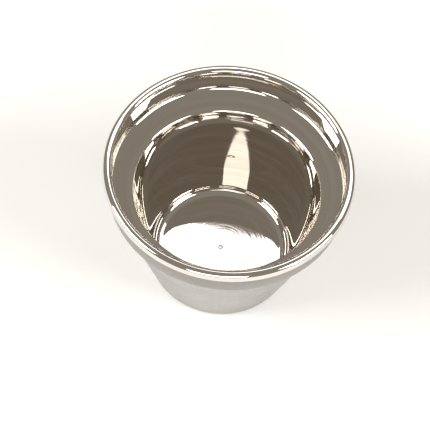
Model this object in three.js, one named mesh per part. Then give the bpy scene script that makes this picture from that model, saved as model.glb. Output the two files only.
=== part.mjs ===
// Double-walled stainless steel shaving mug: a drawn liner whose rim is rolled over the top edge of an
// outer jacket, a sealing ring inside the roll, and a base plate welded into the jacket's foot with a
// plug in its vent.
//
// Millimetres, +Z up. The origin is the centre of the circle that the foot rests on.

import * as THREE from 'three';

// Both shells and the base plate are pressed from one sheet; touching pieces stand CLEARANCE apart
const SHEET = 0.5;
const CLEARANCE = 0.3;

// Rolled rim: an arch of the liner's sheet that hooks over the jacket's top edge
const HEIGHT = 60;
const RIM_RADIUS = 45;
const RIM_WIDTH = 3.4;
const RIM_ROUND = 1.5;
const RIM_SKIRT_HEIGHT = 56.9;
const RIM_NECK_HEIGHT = 56.4;
const RIM_NECK_RISE = 0.8;
const RIM_NECK_ROUND = 0.4;

// Liner, measured on the face that holds the lather
const UPPER_WALL_RADIUS = 41.9;
const CREASE_HEIGHT = 49.3;
const CREASE_ROUND = 2;
const STEP_RADIUS = 33.6;
const STEP_HEIGHT = 46;
const STEP_ROUND = 1.2;
const WALL_FOOT_RADIUS = 24.9;
const FLOOR_HEIGHT = 6;
const FLOOR_ROUND = 3.6;
const FLOOR_RADIUS = 22;
const FLOOR_DISH = 0.4;
const DISH_STEPS = 4;
const MARK_RADIUS = 0.9;
const MARK_BOTTOM_RADIUS = 0.4;
const MARK_DEPTH = 0.15;

// Jacket, measured on its outside face
const JACKET_TOP_RADIUS = 44.2;
const JACKET_TOP_HEIGHT = 57.4;
const SHOULDER_RADIUS = 42.9;
const SHOULDER_HEIGHT = 47.6;
const SHOULDER_ROUND = 4;
const WAIST_RADIUS = 38.1;
const WAIST_HEIGHT = 38.3;
const WAIST_ROUND = 12;
const FOOT_RADIUS = 25.7;
const FOOT_ROUND = 2.5;
const UPSTAND_RADIUS = 20.3;
const UPSTAND_HEIGHT = 2.6;
const UPSTAND_ROUND = 0.8;

// Base plate, measured on its underside, which is pressed up inside PRESSING_RADIUS
const PLATE_HEIGHT = 1.4;
const PRESSING_RADIUS = 13.5;
const PRESSING_SLOPE = 1.5;
const PRESSING_RISE = 0.5;
const VENT_RADIUS = 1.5;

// Small rings and the plug
const WELD_WIDTH = 0.95;
const WELD_DEPTH = 0.5;
const SEAL_SECTION_RADIUS = 0.6;
const SEAL_HEIGHT = 58.35;
const SEAL_SIDES = 8;
const PLUG_HEAD_RADIUS = 2.3;
const PLUG_HEAD_DEPTH = 0.5;
const PLUG_SHANK_TOP = 2.75;

// Facets round the axis, and the most degrees that one step along a rounded corner may turn
const FACETS = 48;
const CORNER_STEP = 22.5;

const POLISHED_STEEL = { color: 0xa89f90, roughness: 0.12, metalness: 1 };
const SATIN_STEEL = { color: 0xa7a5a1, roughness: 0.28, metalness: 1 };
const WELD_STEEL = { color: 0x8c8a88, roughness: 0.45, metalness: 1 };
const SEAL_RUBBER = { color: 0x3a3a3c, roughness: 0.8, metalness: 0 };

/** One corner of a section: its radius from the axis, its height, and the radius that rounds it. */
function corner(r, z, round = 0) {
  return { point: new THREE.Vector2(r, z), round };
}

/** The arc that rounds a corner between two neighbours, as points in order along it. */
function cornerArc(before, { point, round }, after) {
  const back = before.clone().sub(point).normalize();
  const ahead = after.clone().sub(point).normalize();
  const halfAngle = Math.acos(back.dot(ahead)) / 2;
  const toCentre = back.clone().add(ahead).setLength(round / Math.sin(halfAngle));
  const centre = point.clone().add(toCentre);
  const start = point.clone().addScaledVector(back, round / Math.tan(halfAngle));
  const turn = (Math.PI - 2 * halfAngle) * Math.sign(ahead.cross(back));
  const steps = Math.ceil(Math.abs(THREE.MathUtils.radToDeg(turn)) / CORNER_STEP);
  return Array.from({ length: steps + 1 }, (_, k) => start.clone().rotateAround(centre, (turn * k) / steps));
}

/** The points of a line from corner to corner, with the rounded ones stepped round their arcs. */
function roundedLine(corners) {
  return corners.flatMap((here, i) => {
    if (here.round === 0) {
      return [here.point];
    }
    return cornerArc(corners[i - 1].point, here, corners[i + 1].point);
  });
}

/** The same line moved to its left by the sheet's thickness, mitred at each point. */
function backOfSheet(line) {
  return line.map((point, i) => {
    const into = point.clone().sub(line[Math.max(i - 1, 0)]).normalize();
    const out = line[Math.min(i + 1, line.length - 1)].clone().sub(point).normalize();
    const along = into.clone().add(out).normalize();
    const mitre = SHEET / Math.max(along.dot(into), along.dot(out));
    return point.clone().add(new THREE.Vector2(-along.y, along.x).multiplyScalar(mitre));
  });
}

/** The section of a sheet whose exposed face follows the line, with the metal on the line's left. */
function sheetSection(line) {
  return [...backOfSheet(line).reverse(), ...line];
}

/** A named piece turned from a section that starts and ends on the axis, or else closes on itself. */
function turnedPiece(name, section, finish) {
  const onAxis = section[0].x === 0;
  const geometry = new THREE.LatheGeometry(onAxis ? section : [...section, section[0]], FACETS);
  geometry.rotateX(Math.PI / 2);
  const piece = new THREE.Mesh(geometry, new THREE.MeshStandardMaterial(finish));
  piece.name = name;
  return piece;
}

/** The floor's face from near its edge in to the centre mark: a dish that is deepest on the axis. */
function dishedFloor() {
  const dishHeight = (r) => FLOOR_HEIGHT - FLOOR_DISH * (1 - (r / FLOOR_RADIUS) ** 2);
  const rings = Array.from({ length: DISH_STEPS - 1 }, (_, k) => FLOOR_RADIUS * (1 - (k + 1) / DISH_STEPS));
  const markBottom = dishHeight(MARK_RADIUS) - MARK_DEPTH;
  return [
    ...rings.map((r) => corner(r, dishHeight(r))),
    corner(MARK_RADIUS, dishHeight(MARK_RADIUS)),
    corner(MARK_BOTTOM_RADIUS, markBottom),
    corner(0, markBottom),
  ];
}

/** Liner: the rim's skirt, arch and neck, then the upper wall, sloping shelf, step, lower wall and floor. */
function innerLiner() {
  const neckRadius = RIM_RADIUS - RIM_WIDTH;
  const face = roundedLine([
    corner(RIM_RADIUS, RIM_SKIRT_HEIGHT),
    corner(RIM_RADIUS, HEIGHT, RIM_ROUND),
    corner(neckRadius, HEIGHT, RIM_ROUND),
    corner(neckRadius, RIM_NECK_HEIGHT + RIM_NECK_RISE, RIM_NECK_ROUND),
    corner(UPPER_WALL_RADIUS, RIM_NECK_HEIGHT, RIM_NECK_ROUND),
    corner(UPPER_WALL_RADIUS, CREASE_HEIGHT, CREASE_ROUND),
    corner(STEP_RADIUS, STEP_HEIGHT, STEP_ROUND),
    corner(WALL_FOOT_RADIUS, FLOOR_HEIGHT, FLOOR_ROUND),
    ...dishedFloor(),
  ]);
  return turnedPiece('inner_liner', sheetSection(face), POLISHED_STEEL);
}

/** Jacket: the foot's upstand and flat ring, the tapered wall, waist, shoulder and upper band. */
function outerJacket() {
  const face = roundedLine([
    corner(UPSTAND_RADIUS, UPSTAND_HEIGHT),
    corner(UPSTAND_RADIUS, 0, UPSTAND_ROUND),
    corner(FOOT_RADIUS, 0, FOOT_ROUND),
    corner(WAIST_RADIUS, WAIST_HEIGHT, WAIST_ROUND),
    corner(SHOULDER_RADIUS, SHOULDER_HEIGHT, SHOULDER_ROUND),
    corner(JACKET_TOP_RADIUS, JACKET_TOP_HEIGHT),
  ]);
  return turnedPiece('outer_jacket', sheetSection(face), SATIN_STEEL);
}

/** Sealing ring of round section, held in the rim's arch above the jacket's top edge. */
function rimSeal() {
  const centre = new THREE.Vector2(RIM_RADIUS - RIM_WIDTH / 2, SEAL_HEIGHT);
  const start = new THREE.Vector2(centre.x + SEAL_SECTION_RADIUS, centre.y);
  const section = Array.from({ length: SEAL_SIDES }, (_, k) =>
    start.clone().rotateAround(centre, (2 * Math.PI * k) / SEAL_SIDES),
  );
  return turnedPiece('rim_seal', section, SEAL_RUBBER);
}

/** Base plate: a disc pressed up in the middle, with the vent hole at its centre. */
function basePlate() {
  const face = roundedLine([
    corner(VENT_RADIUS, PLATE_HEIGHT + PRESSING_RISE),
    corner(PRESSING_RADIUS, PLATE_HEIGHT + PRESSING_RISE),
    corner(PRESSING_RADIUS + PRESSING_SLOPE, PLATE_HEIGHT),
    corner(UPSTAND_RADIUS - CLEARANCE, PLATE_HEIGHT),
  ]);
  return turnedPiece('base_plate', sheetSection(face), SATIN_STEEL);
}

/** Weld bead in the corner between the foot's upstand and the underside of the base plate. */
function baseWeld() {
  const outer = UPSTAND_RADIUS - CLEARANCE;
  const top = PLATE_HEIGHT - CLEARANCE;
  const section = roundedLine([
    corner(outer, top - WELD_DEPTH),
    corner(outer, top),
    corner(outer - WELD_WIDTH, top),
    corner(outer - WELD_WIDTH, top - WELD_DEPTH / 2),
  ]);
  return turnedPiece('base_weld', section, WELD_STEEL);
}

/** Plug that closes the vent: a low head under the base plate and a shank through the hole. */
function ventPlug() {
  const headTop = PLATE_HEIGHT + PRESSING_RISE - CLEARANCE;
  const headBottom = headTop - PLUG_HEAD_DEPTH;
  const shankRadius = VENT_RADIUS - CLEARANCE;
  const section = roundedLine([
    corner(0, headBottom),
    corner(PLUG_HEAD_RADIUS, headBottom, PLUG_HEAD_DEPTH / 2),
    corner(PLUG_HEAD_RADIUS, headTop),
    corner(shankRadius, headTop),
    corner(shankRadius, PLUG_SHANK_TOP),
    corner(0, PLUG_SHANK_TOP),
  ]);
  return turnedPiece('vent_plug', section, WELD_STEEL);
}

const mug = new THREE.Group();
mug.add(innerLiner(), outerJacket(), rimSeal(), basePlate(), baseWeld(), ventPlug());

export default mug;
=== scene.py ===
"""Double-walled stainless steel shaving mug: the fine surface, the finishes and a small studio.

The mug is turned work, so one Geometry Nodes lathe makes every metal piece from its section. Sections are
written in millimetres from the axis and from the counter, and the pieces are made in metres, Z up, on the
frame's own centre.
"""

import logging
import math
from abc import ABC, abstractmethod
from collections.abc import Mapping, Sequence
from dataclasses import dataclass, field
from enum import Enum
from typing import Any, ClassVar, NamedTuple

import bpy
from mathutils import Matrix, Vector


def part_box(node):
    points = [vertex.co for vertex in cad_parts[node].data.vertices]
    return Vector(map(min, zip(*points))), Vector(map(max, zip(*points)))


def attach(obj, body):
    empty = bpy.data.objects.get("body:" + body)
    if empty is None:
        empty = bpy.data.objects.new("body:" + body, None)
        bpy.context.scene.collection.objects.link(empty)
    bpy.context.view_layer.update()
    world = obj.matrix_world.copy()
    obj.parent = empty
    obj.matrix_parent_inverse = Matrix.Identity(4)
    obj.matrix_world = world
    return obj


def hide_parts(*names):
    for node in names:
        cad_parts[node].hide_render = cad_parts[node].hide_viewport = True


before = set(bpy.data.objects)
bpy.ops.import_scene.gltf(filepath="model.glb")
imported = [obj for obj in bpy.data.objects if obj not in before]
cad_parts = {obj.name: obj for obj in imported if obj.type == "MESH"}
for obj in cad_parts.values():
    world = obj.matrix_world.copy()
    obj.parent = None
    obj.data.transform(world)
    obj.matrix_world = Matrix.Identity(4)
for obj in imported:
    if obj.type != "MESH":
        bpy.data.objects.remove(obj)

log = logging.getLogger("shaving_mug")

MM = 0.001
BODY = "root"

# Sheet of both shells and the base plate, and the gap left between touching pieces, in millimetres
SHEET = 0.5
CLEARANCE = 0.3

# Most degrees that one step along a rounded corner turns, few enough to keep reflections true
CORNER_STEP = 5.0
END_CAP_STEPS = 6


class Slot(Enum):
    """The record's material slots."""

    POLISHED = "polished_steel"
    SATIN = "satin_steel"
    PLAIN = "plain_steel"
    WELD = "weld_steel"
    RUBBER = "seal_rubber"


# ---------------------------------------------------------------- nodes and colours


def linear(hex_colour: str) -> tuple[float, float, float, float]:
    """Turn an sRGB hex colour to linear.

    Args:
        hex_colour: six hex digits after a hash.

    Returns:
        Red, green, blue and an alpha of one.
    """
    channels = [int(hex_colour[i : i + 2], 16) / 255 for i in (1, 3, 5)]
    red, green, blue = (c / 12.92 if c <= 0.04045 else ((c + 0.055) / 1.055) ** 2.4 for c in channels)
    return red, green, blue, 1.0


def add_node(
    tree: bpy.types.NodeTree, kind: str, inputs: Mapping[str | int, Any] | None = None, **settings: Any
) -> bpy.types.Node:
    """Add a node with its settings, its input values and its links.

    Args:
        tree: the tree that the node joins.
        kind: Blender's type name for the node.
        inputs: for each input, by name or number, either a value or the output socket that feeds it.
        settings: the node's own properties.

    Returns:
        The new node.
    """
    node = tree.nodes.new(kind)
    for name, value in settings.items():
        setattr(node, name, value)
    for key, value in (inputs or {}).items():
        if isinstance(value, bpy.types.NodeSocket):
            tree.links.new(value, node.inputs[key])
        else:
            node.inputs[key].default_value = value
    return node


# ---------------------------------------------------------------- sections


class Corner(NamedTuple):
    """A corner of a section: radius from the axis, height, and the radius that rounds it, in millimetres."""

    r: float
    z: float
    round: float = 0.0

    def point(self) -> Vector:
        """The corner's place in the section."""
        return Vector((self.r, self.z))


def corner_arc(before: Vector, corner: Corner, after: Vector) -> list[Vector]:
    """Round a corner, with a point on each straight just past the arc so that shading stays true there.

    Args:
        before: the point that the line comes from.
        corner: the corner and its rounding.
        after: the point that the line goes to.

    Returns:
        Points in order along the arc.
    """
    here = corner.point()
    back = (before - here).normalized()
    ahead = (after - here).normalized()
    half = back.angle(ahead) / 2
    centre = here + (back + ahead).normalized() * (corner.round / math.sin(half))
    tangent = corner.round / math.tan(half)
    lead = corner.round / 8
    start = here + back * tangent
    turn = (math.pi - 2 * half) * math.copysign(1, ahead.x * back.y - ahead.y * back.x)
    steps = max(2, math.ceil(abs(math.degrees(turn)) / CORNER_STEP))
    spoke = start - centre
    arc = [centre + Matrix.Rotation(turn * k / steps, 2) @ spoke for k in range(steps + 1)]
    return [start + back * lead, *arc, here + ahead * (tangent + lead)]


def rounded_line(corners: Sequence[Corner]) -> list[Vector]:
    """Run a line from corner to corner, with the rounded ones stepped round their arcs.

    Args:
        corners: the line's corners, in order.

    Returns:
        The line's points, in order.
    """
    line: list[Vector] = []
    for i, corner in enumerate(corners):
        if corner.round:
            line += corner_arc(corners[i - 1].point(), corner, corners[i + 1].point())
        else:
            line.append(corner.point())
    return line


def back_of_sheet(line: Sequence[Vector]) -> list[Vector]:
    """Move a line to its left by the sheet's thickness, mitred at each point.

    Args:
        line: the exposed face's points.

    Returns:
        The hidden face's points, in the same order.
    """
    moved = []
    for i, point in enumerate(line):
        into = (point - line[max(i - 1, 0)]).normalized()
        out = (line[min(i + 1, len(line) - 1)] - point).normalized()
        along = (into + out).normalized()
        mitre = SHEET / max(along.dot(into), along.dot(out))
        moved.append(point + Vector((-along.y, along.x)) * mitre)
    return moved


def end_cap(face_end: Vector, back_end: Vector) -> list[Vector]:
    """Round the cut edge of a sheet as deburring leaves it.

    Args:
        face_end: the last point of the exposed face.
        back_end: the point opposite it on the hidden face.

    Returns:
        The points between the two, bulging outwards by half the sheet.
    """
    centre = (face_end + back_end) / 2
    spoke = face_end - centre
    turns = (math.pi * k / END_CAP_STEPS for k in range(1, END_CAP_STEPS))
    return [centre + Matrix.Rotation(turn, 2) @ spoke for turn in turns]


def sheet_section(corners: Sequence[Corner]) -> list[Vector]:
    """Close the section of a sheet whose exposed face follows the corners, with the metal on its left.

    Args:
        corners: the exposed face's corners; one that ends on the axis stays open there.

    Returns:
        The section's points, closed on itself unless it starts and ends on the axis.
    """
    line = rounded_line(corners)
    line[0] += (line[1] - line[0]).normalized() * SHEET / 2
    on_axis = line[-1].x == 0
    if not on_axis:
        line[-1] += (line[-2] - line[-1]).normalized() * SHEET / 2
    back = back_of_sheet(line)
    start_cap = end_cap(back[0], line[0])
    if on_axis:
        return [*reversed(back), *start_cap, *line]
    return [*reversed(back), *start_cap, *line, *end_cap(line[-1], back[-1]), back[-1]]


# ---------------------------------------------------------------- the lathe


@dataclass
class TurningLathe:
    """Geometry Nodes tree that turns a section about the axis.

    The section comes in as loose points in the plane of X and Z. A grid with a row for each point and a
    column for each facet is rolled round the axis, and its seam and poles are then merged. Ripples lift
    the surface in waves round the axis, as the puddles of a weld bead do.
    """

    facets: int = 192
    merge: float = 1e-7
    tree: bpy.types.NodeTree = field(init=False)

    SIZES: ClassVar[Mapping[str, str]] = {
        "Points": "NodeSocketInt",
        "Facets": "NodeSocketInt",
        "Merge distance": "NodeSocketFloat",
        "Ripples": "NodeSocketInt",
        "Ripple height": "NodeSocketFloat",
        "Material": "NodeSocketMaterial",
    }

    def __post_init__(self) -> None:
        """Build the tree once; every piece shares it."""
        self.tree = bpy.data.node_groups.new("turning_lathe", "GeometryNodeTree")
        face = self.tree.interface
        face.new_socket("Section", in_out="INPUT", socket_type="NodeSocketGeometry")
        for name, kind in self.SIZES.items():
            face.new_socket(name, in_out="INPUT", socket_type=kind)
        face.new_socket("Piece", in_out="OUTPUT", socket_type="NodeSocketGeometry")
        self._wire(add_node(self.tree, "NodeGroupInput").outputs)

    def _wire(self, given: bpy.types.NodeOutputs) -> None:
        """Lay out the nodes.

        Args:
            given: the tree's inputs.
        """
        tree = self.tree
        columns = self._math("ADD", given["Facets"], 1)
        grid = add_node(tree, "GeometryNodeMeshGrid", {"Vertices X": given["Points"], "Vertices Y": columns})
        index = add_node(tree, "GeometryNodeInputIndex").outputs[0]
        row = self._math("FLOOR", self._math("DIVIDE", index, columns))
        column = self._math("MODULO", index, columns)
        angle = self._math("DIVIDE", self._math("MULTIPLY", column, math.tau), given["Facets"])
        place = add_node(tree, "GeometryNodeInputPosition").outputs[0]
        sample = add_node(
            tree,
            "GeometryNodeSampleIndex",
            {"Geometry": given["Section"], "Value": place, "Index": row},
            data_type="FLOAT_VECTOR",
        )
        section = add_node(tree, "ShaderNodeSeparateXYZ", {0: sample.outputs[0]}).outputs
        half_turns = self._math("DIVIDE", self._math("MULTIPLY", angle, given["Ripples"]), 2)
        wave = self._math("ABSOLUTE", self._math("SINE", half_turns))
        lift = self._math("MULTIPLY", wave, given["Ripple height"])
        x = self._math("MULTIPLY", section["X"], self._math("COSINE", angle))
        y = self._math("MULTIPLY", section["X"], self._math("SINE", angle))
        z = self._math("ADD", section["Z"], lift)
        rolled = add_node(tree, "ShaderNodeCombineXYZ", {"X": x, "Y": y, "Z": z}).outputs[0]
        inputs = {"Geometry": grid.outputs["Mesh"], "Position": rolled}
        turned = add_node(tree, "GeometryNodeSetPosition", inputs)
        closed = add_node(
            tree,
            "GeometryNodeMergeByDistance",
            {"Geometry": turned.outputs[0], "Distance": given["Merge distance"]},
        )
        outward = add_node(tree, "GeometryNodeFlipFaces", {"Mesh": closed.outputs[0]})
        smooth = add_node(tree, "GeometryNodeSetShadeSmooth", {"Geometry": outward.outputs[0]})
        real = add_node(tree, "GeometryNodeRealizeInstances", {"Geometry": smooth.outputs[0]})
        dressed = add_node(
            tree, "GeometryNodeSetMaterial", {"Geometry": real.outputs[0], "Material": given["Material"]}
        )
        add_node(tree, "NodeGroupOutput", {"Piece": dressed.outputs[0]})

    def _math(self, operation: str, *values: Any) -> bpy.types.NodeSocket:
        """One arithmetic step of the tree, as the socket that holds its result."""
        return add_node(self.tree, "ShaderNodeMath", dict(enumerate(values)), operation=operation).outputs[0]

    def turn(
        self,
        name: str,
        section: Sequence[Vector],
        material: bpy.types.Material,
        ripples: int = 0,
        ripple_height: float = 0.0,
    ) -> bpy.types.Object:
        """Turn a section into a finished piece.

        Args:
            name: the piece's name.
            section: its section in millimetres, counter-clockwise round the metal.
            material: the finish of its whole surface.
            ripples: waves round the axis.
            ripple_height: how far a wave lifts the surface, in metres.

        Returns:
            The piece, a plain mesh with its place in its vertices.
        """
        points = [(p.x * MM, 0.0, p.y * MM) for p in section]
        outline = bpy.data.meshes.new(f"{name}_section")
        outline.from_pydata(points, [], [])
        blank = bpy.data.objects.new(f"{name}_blank", outline)
        bpy.context.scene.collection.objects.link(blank)
        modifier = blank.modifiers.new("lathe", "NODES")
        modifier.node_group = self.tree
        sizes = {
            "Points": len(points),
            "Facets": self.facets,
            "Merge distance": self.merge,
            "Ripples": ripples,
            "Ripple height": ripple_height,
            "Material": material,
        }
        for socket in self.tree.interface.items_tree:
            if socket.in_out == "INPUT" and socket.name in sizes:
                modifier[socket.identifier] = sizes[socket.name]
        graph = bpy.context.evaluated_depsgraph_get()
        mesh = bpy.data.meshes.new_from_object(blank.evaluated_get(graph), depsgraph=graph)
        blank.modifiers.clear()
        bpy.data.objects.remove(blank)
        mesh.name = name
        piece = bpy.data.objects.new(name, mesh)
        bpy.context.scene.collection.objects.link(piece)
        return piece


# ---------------------------------------------------------------- finishes


@dataclass(frozen=True)
class Finish(ABC):
    """A finish that one or more pieces share."""

    name: str
    colour: str
    roughness: float

    def material(self) -> bpy.types.Material:
        """Build the finish's material.

        Returns:
            A material with a Principled surface, its colour and roughness set, and the finish's own detail.
        """
        made = bpy.data.materials.new(self.name)
        made.use_nodes = True
        tree = made.node_tree
        tree.nodes.clear()
        shader = add_node(
            tree, "ShaderNodeBsdfPrincipled", {"Base Color": linear(self.colour), "Roughness": self.roughness}
        )
        add_node(tree, "ShaderNodeOutputMaterial", {"Surface": shader.outputs[0]})
        self.detail(tree, shader)
        return made

    @abstractmethod
    def detail(self, tree: bpy.types.NodeTree, shader: bpy.types.Node) -> None:
        """Add what the surface shows up close."""


class RoundTheAxis:
    """Coordinates of work that was turned or brushed as it spun: round the axis, and along the section."""

    def __init__(self, tree: bpy.types.NodeTree) -> None:
        """Measure radius, direction from the axis, and distance along the section."""
        self.tree = tree
        self.place = add_node(tree, "ShaderNodeTexCoord").outputs["Object"]
        flat = add_node(tree, "ShaderNodeVectorMath", {0: self.place, 1: (1, 1, 0)}, operation="MULTIPLY")
        inputs = {0: flat.outputs[0]}
        self.radius = add_node(tree, "ShaderNodeVectorMath", inputs, operation="LENGTH").outputs["Value"]
        self.around = add_node(tree, "ShaderNodeVectorMath", inputs, operation="NORMALIZE").outputs[0]
        self.height = add_node(tree, "ShaderNodeSeparateXYZ", {0: self.place}).outputs["Z"]
        self.along = self.math("ADD", self.radius, self.height)

    def math(self, operation: str, *values: Any) -> bpy.types.NodeSocket:
        """One arithmetic step, as the socket that holds its result."""
        return add_node(self.tree, "ShaderNodeMath", dict(enumerate(values)), operation=operation).outputs[0]

    def lines(self, pitch: float, streaks: float, detail: float = 2.0) -> bpy.types.NodeSocket:
        """Brush or tool lines that run round the axis.

        Args:
            pitch: distance from line to line along the section, in millimetres.
            streaks: about how many times a line changes on its way round.
            detail: octaves of finer lines.

        Returns:
            A pattern from 0 to 1.
        """
        spread = pitch * MM * streaks / math.tau
        inputs = {0: self.around, "Scale": spread}
        ring = add_node(self.tree, "ShaderNodeVectorMath", inputs, operation="SCALE")
        rise = add_node(self.tree, "ShaderNodeCombineXYZ", {"Z": self.along})
        both = {0: ring.outputs[0], 1: rise.outputs[0]}
        place = add_node(self.tree, "ShaderNodeVectorMath", both, operation="ADD")
        noise = add_node(
            self.tree,
            "ShaderNodeTexNoise",
            {"Vector": place.outputs[0], "Scale": 1 / (pitch * MM), "Detail": detail, "Roughness": 0.6},
        )
        return noise.outputs["Fac"]

    def drapes(self, count: float, length: float) -> bpy.types.NodeSocket:
        """Slow waves round the axis that run straight down the section, as a draw ring leaves them.

        Args:
            count: about how many waves there are round the piece.
            length: how far a wave runs down before it fades into another, in millimetres.

        Returns:
            A pattern from 0 to 1.
        """
        turn = count / math.tau
        ring = add_node(self.tree, "ShaderNodeVectorMath", {0: self.around, "Scale": turn}, operation="SCALE")
        run = self.math("DIVIDE", self.along, length * MM)
        rise = add_node(self.tree, "ShaderNodeCombineXYZ", {"Z": run})
        both = {0: ring.outputs[0], 1: rise.outputs[0]}
        place = add_node(self.tree, "ShaderNodeVectorMath", both, operation="ADD")
        inputs = {"Vector": place.outputs[0], "Scale": 1.0, "Detail": 1.0}
        noise = add_node(self.tree, "ShaderNodeTexNoise", inputs)
        return noise.outputs["Fac"]

    def speckle(self, size: float, detail: float = 2.0) -> bpy.types.NodeSocket:
        """An even mottle.

        Args:
            size: how far apart its spots are, in millimetres.
            detail: octaves of finer spots.

        Returns:
            A pattern from 0 to 1.
        """
        noise = add_node(
            self.tree,
            "ShaderNodeTexNoise",
            {"Vector": self.place, "Scale": 1 / (size * MM), "Detail": detail, "Roughness": 0.55},
        )
        return noise.outputs["Fac"]

    def hairlines(self, size: float, width: float) -> bpy.types.NodeSocket:
        """Long curved hairline scratches, broken into short runs.

        Args:
            size: how far apart the scratches are, in millimetres.
            width: a scratch's share of that distance.

        Returns:
            A mask that is 1 along a scratch.
        """
        contour = self.math("ABSOLUTE", self.math("SUBTRACT", self.speckle(size, 0.0), 0.5))
        line = self.band(contour, 0.0, width, 1.0, 0.0)
        runs = self.band(self.speckle(size * 0.31, 1.0), 0.5, 0.62, 0.0, 1.0)
        return self.math("MULTIPLY", line, runs)

    def band(
        self, value: bpy.types.NodeSocket, start: float, end: float, low: float, high: float
    ) -> bpy.types.NodeSocket:
        """Carry a value smoothly from one range to another, held at its ends.

        Args:
            value: the value to carry.
            start: where the change begins.
            end: where it is over.
            low: the result up to the start.
            high: the result past the end.

        Returns:
            The socket that holds the result.
        """
        inputs = {"Value": value, "From Min": start, "From Max": end, "To Min": low, "To Max": high}
        node = add_node(self.tree, "ShaderNodeMapRange", inputs, interpolation_type="SMOOTHSTEP")
        return node.outputs["Result"]

    def relief(self, *layers: tuple[bpy.types.NodeSocket, float]) -> bpy.types.NodeSocket:
        """Stack bump layers.

        Args:
            layers: each pattern with its height in millimetres.

        Returns:
            The normal after every layer.
        """
        normal: bpy.types.NodeSocket | None = None
        for pattern, height in layers:
            inputs: dict[str, Any] = {"Height": pattern, "Distance": height * MM, "Strength": 1.0}
            if normal is not None:
                inputs["Normal"] = normal
            normal = add_node(self.tree, "ShaderNodeBump", inputs).outputs[0]
        assert normal is not None
        return normal


@dataclass(frozen=True)
class TurnedSteel(Finish):
    """Stainless steel worked as it spun, so its gloss is drawn out across the lines."""

    stretch: float = 0.0

    def metal(self, tree: bpy.types.NodeTree, shader: bpy.types.Node) -> RoundTheAxis:
        """Make the surface metal, with its gloss stretched about the axis.

        Args:
            tree: the material's tree.
            shader: its Principled node.

        Returns:
            The coordinates that the finish draws its patterns on.
        """
        shader.inputs["Metallic"].default_value = 1.0
        shader.inputs["Anisotropic"].default_value = self.stretch
        if self.stretch:
            tangent = add_node(tree, "ShaderNodeTangent", direction_type="RADIAL", axis="Z")
            tree.links.new(tangent.outputs[0], shader.inputs["Tangent"])
        return RoundTheAxis(tree)

    def tint(
        self,
        tree: bpy.types.NodeTree,
        shader: bpy.types.Node,
        mask: bpy.types.NodeSocket,
        colour: str,
    ) -> None:
        """Carry the colour towards another where a mask says.

        Args:
            tree: the material's tree.
            shader: its Principled node.
            mask: how far towards the other colour, from 0 to 1.
            colour: the other colour.
        """
        inputs = {"Factor": mask, 6: linear(self.colour), 7: linear(colour)}
        mixed = add_node(tree, "ShaderNodeMix", inputs, data_type="RGBA")
        tree.links.new(mixed.outputs[2], shader.inputs["Base Color"])


@dataclass(frozen=True)
class PolishedDrawnSteel(TurnedSteel):
    """Deep-drawn stainless, buffed to a mirror as it spun.

    To the eye it is a mirror, lightly smeared across fine lines that run round the bowl, with slow upright
    waves from the draw ring, rings from the tool on the floor and a few hairlines from brushes and cups.
    """

    wave_count: float = 22.0
    wave_length: float = 30.0
    wave_height: float = 0.012
    wave_clear: tuple[float, float] = (8.0, 24.0)
    # Buffing lines are a few hundredths apart on the mug; drawn at half a millimetre so that they show
    buffing_pitch: float = 0.55
    buffing_height: float = 0.0011
    buffing_haze: float = 0.02
    floor_edge: tuple[float, float] = (23.0, 24.5)
    tool_pitch: float = 1.1
    tool_height: float = 0.0022
    scratch_spacing: float = 14.0
    scratch_width: float = 0.004
    scratch_depth: float = 0.0002
    scratch_haze: float = 0.06
    haze_size: float = 7.0
    tone_pitch: float = 2.6
    tone: str = "#f6f5f8"
    tone_share: float = 0.3

    def detail(self, tree: bpy.types.NodeTree, shader: bpy.types.Node) -> None:
        """Draw the buffing lines, draw waves, tool rings, hairlines and a faint haze.

        Args:
            tree: the material's tree.
            shader: its Principled node.
        """
        turned = self.metal(tree, shader)
        buffing = turned.lines(pitch=self.buffing_pitch, streaks=9, detail=3)
        clear_start, clear_end = self.wave_clear
        clear_of_centre = turned.band(turned.radius, clear_start * MM, clear_end * MM, 0.0, 1.0)
        draped = turned.drapes(count=self.wave_count, length=self.wave_length)
        waves = turned.math("MULTIPLY", draped, clear_of_centre)
        edge_start, edge_end = self.floor_edge
        on_floor = turned.band(turned.radius, edge_start * MM, edge_end * MM, 1.0, 0.0)
        rings = turned.lines(pitch=self.tool_pitch, streaks=2.5, detail=2)
        tool = turned.math("MULTIPLY", rings, on_floor)
        scratches = turned.hairlines(size=self.scratch_spacing, width=self.scratch_width)
        normal = turned.relief(
            (waves, self.wave_height),
            (buffing, self.buffing_height),
            (tool, self.tool_height),
            (scratches, -self.scratch_depth),
        )
        tree.links.new(normal, shader.inputs["Normal"])
        mottle = turned.speckle(self.haze_size, 3)
        haze = turned.band(mottle, 0.35, 0.75, self.roughness * 0.8, self.roughness * 1.5)
        lined = turned.math("ADD", haze, turned.band(buffing, 0.45, 0.8, 0.0, self.buffing_haze))
        worn = turned.math("ADD", lined, turned.math("MULTIPLY", scratches, self.scratch_haze))
        tree.links.new(worn, shader.inputs["Roughness"])
        toned = turned.band(turned.lines(self.tone_pitch, 3, 1), 0.3, 0.8, 0.0, self.tone_share)
        self.tint(tree, shader, toned, self.tone)


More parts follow.
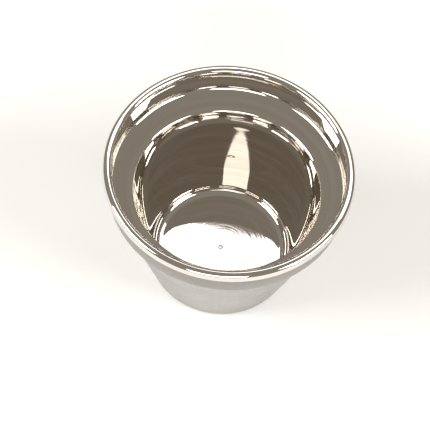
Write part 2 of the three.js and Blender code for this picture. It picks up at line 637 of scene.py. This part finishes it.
@dataclass(frozen=True)
class SatinBrushedSteel(TurnedSteel):
    """Stainless sheet brushed with a fine belt as it spun, then left satin.

    To the eye it is an even grey with soft wide highlights that stretch up and down, a fine line round the
    mug, and a faint mottle where hands have been.
    """

    # Belt lines of 180 grit are near 0.08 mm apart; drawn at 0.35 mm so that they show
    belt_pitch: float = 0.35
    belt_height: float = 0.0005
    line_colour: str = "#8b8884"
    wave_count: float = 14.0
    wave_length: float = 22.0
    wave_height: float = 0.006
    mottle_size: float = 9.0
    mottle_height: float = 0.0001
    scratch_spacing: float = 11.0
    scratch_width: float = 0.005
    scratch_depth: float = 0.0006
    scratch_haze: float = 0.1

    def detail(self, tree: bpy.types.NodeTree, shader: bpy.types.Node) -> None:
        """Draw the belt lines, a soft unevenness, handling mottle and a few hairlines.

        Args:
            tree: the material's tree.
            shader: its Principled node.
        """
        turned = self.metal(tree, shader)
        belt = turned.lines(pitch=self.belt_pitch, streaks=14, detail=4)
        waves = turned.drapes(count=self.wave_count, length=self.wave_length)
        mottle = turned.speckle(self.mottle_size, 3)
        scratches = turned.hairlines(size=self.scratch_spacing, width=self.scratch_width)
        normal = turned.relief(
            (waves, self.wave_height),
            (belt, self.belt_height),
            (mottle, self.mottle_height),
            (scratches, -self.scratch_depth),
        )
        tree.links.new(normal, shader.inputs["Normal"])
        base = turned.band(mottle, 0.3, 0.75, self.roughness * 0.92, self.roughness * 1.1)
        lined = turned.math("ADD", base, turned.band(belt, 0.35, 0.8, 0.0, 0.06))
        worn = turned.math("ADD", lined, turned.math("MULTIPLY", scratches, self.scratch_haze))
        tree.links.new(worn, shader.inputs["Roughness"])
        self.tint(tree, shader, turned.band(belt, 0.3, 0.8, 0.0, 1.0), self.line_colour)


@dataclass(frozen=True)
class SpunPlainSteel(TurnedSteel):
    """Stainless disc faced with one pass of a tool and left so, with a heat tint beside the weld.

    To the eye it is a dull disc with even rings, a fan of light from the centre, and straw running to blue
    at its edge.
    """

    ring_pitch: float = 0.6
    ring_height: float = 0.009
    mottle_size: float = 1.6
    mottle_height: float = 0.003
    tint_start: float = 16.6
    tint_end: float = 20.0
    tint_wander: float = 1.6
    heat_colours: tuple[tuple[float, str], ...] = ((0.35, "#b59a68"), (0.62, "#8d6a56"), (0.85, "#56607c"))
    hottest: str = "#7b8390"

    def detail(self, tree: bpy.types.NodeTree, shader: bpy.types.Node) -> None:
        """Draw the facing rings, drag marks and the heat tint.

        Args:
            tree: the material's tree.
            shader: its Principled node.
        """
        turned = self.metal(tree, shader)
        rings = turned.lines(pitch=self.ring_pitch, streaks=3, detail=3)
        mottle = turned.speckle(self.mottle_size, 3)
        normal = turned.relief((rings, self.ring_height), (mottle, self.mottle_height))
        tree.links.new(normal, shader.inputs["Normal"])
        dull = turned.band(rings, 0.3, 0.75, self.roughness * 0.85, self.roughness * 1.3)
        tree.links.new(dull, shader.inputs["Roughness"])
        uneven = turned.math("MULTIPLY", turned.math("SUBTRACT", mottle, 0.5), self.tint_wander * MM)
        reach = turned.math("ADD", turned.radius, uneven)
        heat = turned.band(reach, self.tint_start * MM, self.tint_end * MM, 0.0, 1.0)
        ramp = add_node(tree, "ShaderNodeValToRGB", {"Fac": heat})
        stops = ramp.color_ramp.elements
        stops[0].color = linear(self.colour)
        for place, colour in self.heat_colours:
            stops.new(place).color = linear(colour)
        stops[-1].color = linear(self.hottest)
        tree.links.new(ramp.outputs[0], shader.inputs["Base Color"])


@dataclass(frozen=True)
class WeldedSteel(TurnedSteel):
    """Stainless filler melted in a bead, wiped but not ground.

    To the eye it is a dull, slightly pitted grey with straw and blue traces of heat.
    """

    pit_size: float = 0.35
    pit_height: float = 0.012
    skin_size: float = 1.4
    skin_height: float = 0.03
    oxide: str = "#8b7a5e"

    def detail(self, tree: bpy.types.NodeTree, shader: bpy.types.Node) -> None:
        """Draw the pits and the oxide.

        Args:
            tree: the material's tree.
            shader: its Principled node.
        """
        turned = self.metal(tree, shader)
        pits = turned.speckle(self.pit_size, 3)
        skin = turned.speckle(self.skin_size, 2)
        normal = turned.relief((skin, self.skin_height), (pits, self.pit_height))
        tree.links.new(normal, shader.inputs["Normal"])
        dull = turned.band(pits, 0.35, 0.7, self.roughness * 1.25, self.roughness * 0.8)
        tree.links.new(dull, shader.inputs["Roughness"])
        self.tint(tree, shader, turned.band(skin, 0.42, 0.66, 0.0, 1.0), self.oxide)


@dataclass(frozen=True)
class MouldedNitrile(Finish):
    """Black nitrile rubber moulded as a ring.

    To the eye it is matt and nearly black, with a fine grain and a dusting left from the mould.
    """

    ior: float = 1.52
    grain_size: float = 0.25
    grain_height: float = 0.01
    bloom_size: float = 1.8
    bloom: str = "#4a4a4c"
    bloom_roughness: float = 0.92

    def detail(self, tree: bpy.types.NodeTree, shader: bpy.types.Node) -> None:
        """Draw the mould grain and a faint bloom.

        Args:
            tree: the material's tree.
            shader: its Principled node.
        """
        shader.inputs["IOR"].default_value = self.ior
        ring = RoundTheAxis(tree)
        grain = ring.speckle(self.grain_size, 2)
        tree.links.new(ring.relief((grain, self.grain_height)), shader.inputs["Normal"])
        bloom = ring.speckle(self.bloom_size, 3)
        mask = ring.band(bloom, 0.4, 0.8, 0.0, 0.5)
        inputs = {"Factor": mask, 6: linear(self.colour), 7: linear(self.bloom)}
        mixed = add_node(tree, "ShaderNodeMix", inputs, data_type="RGBA")
        tree.links.new(mixed.outputs[2], shader.inputs["Base Color"])
        dull = ring.band(bloom, 0.3, 0.8, self.roughness, self.bloom_roughness)
        tree.links.new(dull, shader.inputs["Roughness"])


# ---------------------------------------------------------------- the mug


@dataclass
class TurnedPart(ABC):
    """A piece of the mug that the lathe makes."""

    name: ClassVar[str]
    node: ClassVar[str]
    slot: ClassVar[Slot]
    ripples: ClassVar[int] = 0
    ripple_height: ClassVar[float] = 0.0

    @abstractmethod
    def section(self) -> list[Vector]:
        """The piece's section, in millimetres."""

    def build(self, lathe: TurningLathe, finish: Finish) -> bpy.types.Object:
        """Turn the piece, dress it and stand it in for its frame node.

        Args:
            lathe: the lathe that turns it.
            finish: its finish.

        Returns:
            The finished piece.
        """
        height = self.ripple_height * MM
        piece = lathe.turn(self.name, self.section(), finish.material(), self.ripples, height)
        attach(piece, BODY)
        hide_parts(self.node)
        log.info("%s: %d faces, %s", self.name, len(piece.data.polygons), finish.name)
        return piece


@dataclass
class Liner(TurnedPart):
    """Drawn bowl, from the rim's skirt, arch and neck down the stepped wall to the floor."""

    name = "drawn_liner"
    node = "inner_liner"
    slot = Slot.POLISHED

    rim_radius: float
    height: float
    rim_width: float = 3.4
    rim_round: float = 1.5
    skirt_depth: float = 3.1
    neck_depth: float = 3.6
    neck_rise: float = 0.8
    neck_round: float = 0.6
    upper_wall_radius: float = 41.9
    crease_height: float = 49.3
    crease_round: float = 2.0
    step_radius: float = 33.6
    step_height: float = 46.0
    step_round: float = 1.2
    wall_foot_radius: float = 24.9
    floor_height: float = 6.0
    floor_round: float = 3.6
    floor_radius: float = 22.0
    floor_dish: float = 0.4
    dish_rings: int = 16
    mark_radius: float = 0.9
    mark_bottom_radius: float = 0.4
    mark_depth: float = 0.15
    mark_round: float = 0.15

    def dish_height(self, r: float) -> float:
        """Height of the floor's dish at a radius, deepest on the axis."""
        return self.floor_height - self.floor_dish * (1 - (r / self.floor_radius) ** 2)

    def floor(self) -> list[Corner]:
        """The floor's face from near its edge in to the centre mark.

        Returns:
            Corners in order towards the axis.
        """
        radii = [self.floor_radius * (1 - k / self.dish_rings) for k in range(1, self.dish_rings - 1)]
        rings = [Corner(r, self.dish_height(r)) for r in radii]
        bottom = self.dish_height(self.mark_radius) - self.mark_depth
        return [
            *rings,
            Corner(self.mark_radius, self.dish_height(self.mark_radius), self.mark_round),
            Corner(self.mark_bottom_radius, bottom, self.mark_round),
            Corner(0, bottom),
        ]

    def section(self) -> list[Vector]:
        """The liner's section.

        Returns:
            Points from under the centre mark, round the rim and back to the mark's face.
        """
        neck = self.rim_radius - self.rim_width
        return sheet_section(
            [
                Corner(self.rim_radius, self.height - self.skirt_depth),
                Corner(self.rim_radius, self.height, self.rim_round),
                Corner(neck, self.height, self.rim_round),
                Corner(neck, self.height - self.neck_depth + self.neck_rise, self.neck_round),
                Corner(self.upper_wall_radius, self.height - self.neck_depth, self.neck_round),
                Corner(self.upper_wall_radius, self.crease_height, self.crease_round),
                Corner(self.step_radius, self.step_height, self.step_round),
                Corner(self.wall_foot_radius, self.floor_height, self.floor_round),
                *self.floor(),
            ]
        )


@dataclass
class Jacket(TurnedPart):
    """Outer shell: the foot's upstand and flat ring, the tapered wall, waist, shoulder and upper band."""

    name = "brushed_jacket"
    node = "outer_jacket"
    slot = Slot.SATIN

    top_radius: float
    top_height: float
    shoulder: Corner = Corner(42.9, 47.6, 4.0)
    waist: Corner = Corner(38.1, 38.3, 12.0)
    foot: Corner = Corner(25.7, 0.0, 2.5)
    upstand_radius: float = 20.3
    upstand_height: float = 2.6
    upstand_round: float = 0.8

    def section(self) -> list[Vector]:
        """The jacket's section.

        Returns:
            Points round the sheet, closed on itself.
        """
        return sheet_section(
            [
                Corner(self.upstand_radius, self.upstand_height),
                Corner(self.upstand_radius, 0, self.upstand_round),
                self.foot,
                self.waist,
                self.shoulder,
                Corner(self.top_radius, self.top_height),
            ]
        )


@dataclass
class BasePlate(TurnedPart):
    """Disc that closes the foot, pressed up in the middle, with the vent hole at its centre."""

    name = "spun_base_plate"
    node = "base_plate"
    slot = Slot.PLAIN

    edge_radius: float
    underside: float
    rise: float = 0.5
    pressing_radius: float = 13.5
    pressing_slope: float = 1.5
    pressing_round: float = 1.2
    vent_radius: float = 1.5

    def section(self) -> list[Vector]:
        """The plate's section.

        Returns:
            Points round the sheet, closed on itself.
        """
        return sheet_section(
            [
                Corner(self.vent_radius, self.underside + self.rise),
                Corner(self.pressing_radius, self.underside + self.rise, self.pressing_round),
                Corner(self.pressing_radius + self.pressing_slope, self.underside, self.pressing_round),
                Corner(self.edge_radius, self.underside),
            ]
        )


@dataclass
class WeldBead(TurnedPart):
    """Bead between the foot's upstand and the base plate, frozen in overlapping puddles."""

    name = "weld_bead"
    node = "base_weld"
    slot = Slot.WELD
    ripples = 84
    ripple_height = 0.09

    outer_radius: float
    top: float
    width: float = 0.95
    depth: float = 0.5
    edge_round: float = 0.16

    def section(self) -> list[Vector]:
        """The bead's section.

        Returns:
            Points round the bead, closed on itself.
        """
        inner = self.outer_radius - self.width
        # The ripples lift the whole bead, so it is made that much lower
        top = self.top - self.ripple_height
        middle = Corner(self.outer_radius, top - self.depth / 2)
        corners = [
            middle,
            Corner(self.outer_radius, top, self.edge_round / 2),
            Corner(inner, top, self.edge_round / 2),
            Corner(inner, top - self.depth / 3, self.edge_round / 2),
            Corner(self.outer_radius - self.width / 3, top - self.depth, self.edge_round),
            Corner(self.outer_radius, top - self.depth, self.edge_round / 2),
            middle,
        ]
        return rounded_line(corners)


@dataclass
class VentPlug(TurnedPart):
    """Plug that closes the vent: a low domed head under the base plate and a shank through the hole."""

    name = "vent_closing_plug"
    node = "vent_plug"
    slot = Slot.WELD

    head_bottom: float
    head_top: float
    shank_top: float
    head_radius: float
    shank_radius: float = 1.2
    edge_round: float = 0.12
    dome: float = 0.12

    def section(self) -> list[Vector]:
        """The plug's section.

        Returns:
            Points from the head's centre to the shank's.
        """
        return rounded_line(
            [
                Corner(0, self.head_bottom),
                Corner(self.head_radius * 0.55, self.head_bottom + self.dome / 4, self.head_radius),
                Corner(self.head_radius, self.head_bottom + self.dome, self.edge_round),
                Corner(self.head_radius, self.head_top, self.edge_round),
                Corner(self.shank_radius, self.head_top, self.edge_round / 2),
                Corner(self.shank_radius, self.shank_top, self.edge_round),
                Corner(0, self.shank_top),
            ]
        )


@dataclass
class RimSeal:
    """Sealing ring inside the rolled rim, kept as the frame has it and only dressed."""

    node: str = "rim_seal"

    def dress(self, finish: Finish) -> bpy.types.Object:
        """Give the ring its rubber.

        Args:
            finish: the rubber.

        Returns:
            The ring.
        """
        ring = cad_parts[self.node]
        ring.data.materials.clear()
        ring.data.materials.append(finish.material())
        log.info("%s: kept from the frame, %s", self.node, finish.name)
        return ring


@dataclass
class FootClosure:
    """What closes the foot: base plate, weld bead and vent plug, all placed from the frame."""

    plate_finish: Finish
    weld_finish: Finish

    def build(self, lathe: TurningLathe) -> list[bpy.types.Object]:
        """Turn the three pieces.

        Args:
            lathe: the lathe that turns them.

        Returns:
            The plate, the bead and the plug.
        """
        plate_low, plate_high = (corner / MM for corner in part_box("base_plate"))
        weld_low, weld_high = (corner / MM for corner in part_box("base_weld"))
        plug_low, plug_high = (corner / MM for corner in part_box("vent_plug"))
        plate = BasePlate(edge_radius=plate_high.x, underside=plate_low.z)
        bead = WeldBead(outer_radius=weld_high.x, top=weld_high.z)
        plug = VentPlug(
            head_bottom=plug_low.z,
            head_top=plate_low.z + plate.rise - CLEARANCE,
            shank_top=plug_high.z,
            head_radius=plug_high.x,
        )
        return [
            plate.build(lathe, self.plate_finish),
            bead.build(lathe, self.weld_finish),
            plug.build(lathe, self.weld_finish),
        ]


# ---------------------------------------------------------------- the studio


@dataclass(frozen=True)
class Camera:
    """Long lens looking down into the mug, held by hand with a little roll. Places in millimetres."""

    place: Vector = Vector((0.0, -482.4, 801.8))
    aim: Vector = Vector((-3.25, -10.1, 43.8))
    roll: float = 6.15
    lens: float = 209.3
    clip: tuple[float, float] = (0.05, 20.0)

    def build(self) -> None:
        """Set the scene's camera."""
        data = bpy.data.cameras.new("camera")
        data.lens = self.lens
        data.clip_start, data.clip_end = self.clip
        camera = bpy.data.objects.new("camera", data)
        bpy.context.scene.collection.objects.link(camera)
        look = (self.aim - self.place).to_track_quat("-Z", "Y").to_matrix().to_4x4()
        turn = Matrix.Rotation(math.radians(self.roll), 4, "Z")
        camera.matrix_world = Matrix.Translation(self.place * MM) @ look @ turn
        bpy.context.scene.camera = camera


class LampName(Enum):
    """The soft lamps of the studio."""

    KEY = "key"
    LEFT = "left"
    RIGHT = "right"
    FILL = "fill"


@dataclass(frozen=True)
class Lamp:
    """A square or oblong soft lamp aimed at the mug.

    Azimuth 0 is away from the camera and 90 to the camera's right, in degrees. Distance and sides are in
    metres and power is in watts.
    """

    azimuth: float
    elevation: float
    distance: float
    width: float
    height: float
    power: float

    def place(self) -> Vector:
        """Where the lamp hangs, in metres."""
        turn, rise = math.radians(self.azimuth), math.radians(self.elevation)
        level = math.cos(rise)
        return Vector((math.sin(turn) * level, math.cos(turn) * level, math.sin(rise))) * self.distance

    def hang(self, name: str) -> None:
        """Hang the lamp, facing the origin.

        Args:
            name: the lamp's name.
        """
        data = bpy.data.lights.new(name, "AREA")
        data.shape = "RECTANGLE"
        data.size = self.width
        data.size_y = self.height
        data.energy = self.power
        lamp = bpy.data.objects.new(name, data)
        lamp.location = self.place()
        lamp.rotation_mode = "QUATERNION"
        lamp.rotation_quaternion = (-self.place()).to_track_quat("-Z", "Y")
        bpy.context.scene.collection.objects.link(lamp)


@dataclass
class Studio:
    """Plain pale floor and plain soft light: one even surround and a few soft lamps."""

    lamps: dict[LampName, Lamp] = field(
        default_factory=lambda: {
            LampName.KEY: Lamp(
                azimuth=17, elevation=57.0, distance=1.5, width=0.86, height=0.2, power=1.4
            ),
            LampName.LEFT: Lamp(
                azimuth=-105, elevation=36, distance=1.7, width=1.0, height=0.8, power=24
            ),
            LampName.RIGHT: Lamp(
                azimuth=108, elevation=36, distance=1.7, width=1.0, height=0.8, power=20
            ),
            LampName.FILL: Lamp(
                azimuth=180, elevation=32, distance=1.9, width=1.3, height=0.7, power=16
            ),
        }
    )
    floor_radius: float = 2.5
    floor_rings: int = 64
    floor: str = "#f4f3f1"
    floor_roughness: float = 0.85
    floor_shine: float = 0.1
    surround: str = "#b9b0a4"
    surround_strength: float = 0.62
    glossy_bounces: int = 10

    def build(self) -> None:
        """Set up the floor, the surround, the lamps and the picture's tone."""
        self._floor()
        self._surround()
        for name, lamp in self.lamps.items():
            lamp.hang(name.value)
        scene = bpy.context.scene
        scene.view_settings.view_transform = "Standard"
        scene.cycles.glossy_bounces = self.glossy_bounces
        scene.cycles.max_bounces = self.glossy_bounces + 2

    def _floor(self) -> None:
        """Lay the pale floor under the mug."""
        turns = [math.tau * k / self.floor_rings for k in range(self.floor_rings)]
        rim = [(self.floor_radius * math.cos(a), self.floor_radius * math.sin(a), 0.0) for a in turns]
        mesh = bpy.data.meshes.new("floor")
        mesh.from_pydata(rim, [], [list(range(self.floor_rings))])
        floor = bpy.data.objects.new("floor", mesh)
        bpy.context.scene.collection.objects.link(floor)
        paint = bpy.data.materials.new("matt_paper_floor")
        paint.use_nodes = True
        tree = paint.node_tree
        tree.nodes.clear()
        inputs = {
            "Base Color": linear(self.floor),
            "Roughness": self.floor_roughness,
            "Specular IOR Level": self.floor_shine,
        }
        shader = add_node(tree, "ShaderNodeBsdfPrincipled", inputs)
        add_node(tree, "ShaderNodeOutputMaterial", {"Surface": shader.outputs[0]})
        mesh.materials.append(paint)

    def _surround(self) -> None:
        """Give the studio one even surround, the same for every ray and in every direction."""
        world = bpy.data.worlds.new("studio")
        bpy.context.scene.world = world
        world.use_nodes = True
        tree = world.node_tree
        tree.nodes.clear()
        inputs = {"Color": linear(self.surround), "Strength": self.surround_strength}
        plain = add_node(tree, "ShaderNodeBackground", inputs)
        add_node(tree, "ShaderNodeOutputWorld", {"Surface": plain.outputs[0]})


# ---------------------------------------------------------------- main


def main() -> None:
    """Build the mug and its studio."""
    logging.basicConfig(level=logging.INFO, format="%(name)s %(message)s")
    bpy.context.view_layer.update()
    lathe = TurningLathe()
    liner_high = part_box("inner_liner")[1] / MM
    jacket_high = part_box("outer_jacket")[1] / MM
    Liner(rim_radius=liner_high.x, height=liner_high.z).build(
        lathe, PolishedDrawnSteel("polished_drawn_steel", "#d9d4cc", 0.022, stretch=0.2)
    )
    Jacket(top_radius=jacket_high.x, top_height=jacket_high.z).build(
        lathe, SatinBrushedSteel("satin_brushed_steel", "#97948f", 0.27, stretch=0.5)
    )
    RimSeal().dress(MouldedNitrile("moulded_nitrile", "#222224", 0.7))
    FootClosure(
        plate_finish=SpunPlainSteel("spun_plain_steel", "#c2c0bc", 0.3, stretch=0.5),
        weld_finish=WeldedSteel("welded_steel", "#a3a09b", 0.42),
    ).build(lathe)
    Studio().build()
    Camera().build()


if __name__ == "__main__":
    main()
